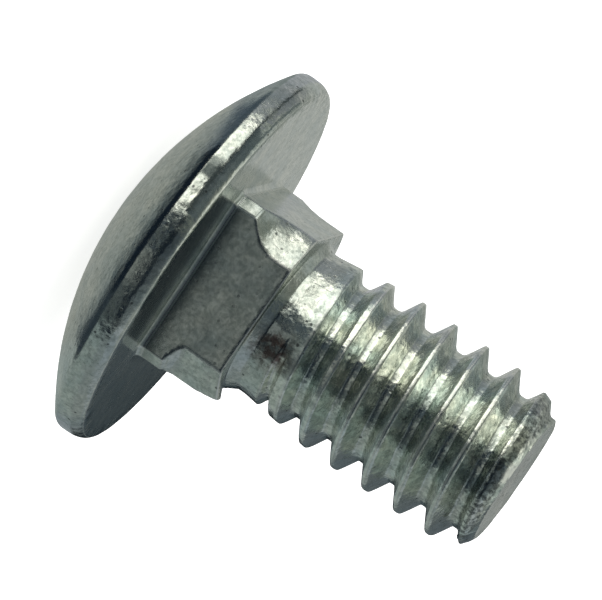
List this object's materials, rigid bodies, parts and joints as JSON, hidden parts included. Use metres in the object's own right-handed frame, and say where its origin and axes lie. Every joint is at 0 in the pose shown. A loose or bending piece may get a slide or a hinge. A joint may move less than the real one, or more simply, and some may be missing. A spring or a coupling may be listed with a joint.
{
  "type": "carriage bolt",
  "caption": "Short zinc-plated carriage bolt with a low domed head, a square neck and a fully threaded right-hand shank.",
  "frame": {"origin": "on the bolt's axis, in the plane of the bearing face under the head", "axes": "+Z along the axis from the head to the tip; X and Y square to the flats of the neck"},
  "size_m": [0.0144, 0.0144, 0.0159],
  "materials": {
    "zinc_plated_steel": "bright zinc plate, mottled and slightly worn"
  },
  "bodies": {
    "root": {"carriage_bolt": "zinc_plated_steel"}
  },
  "joints": []
}
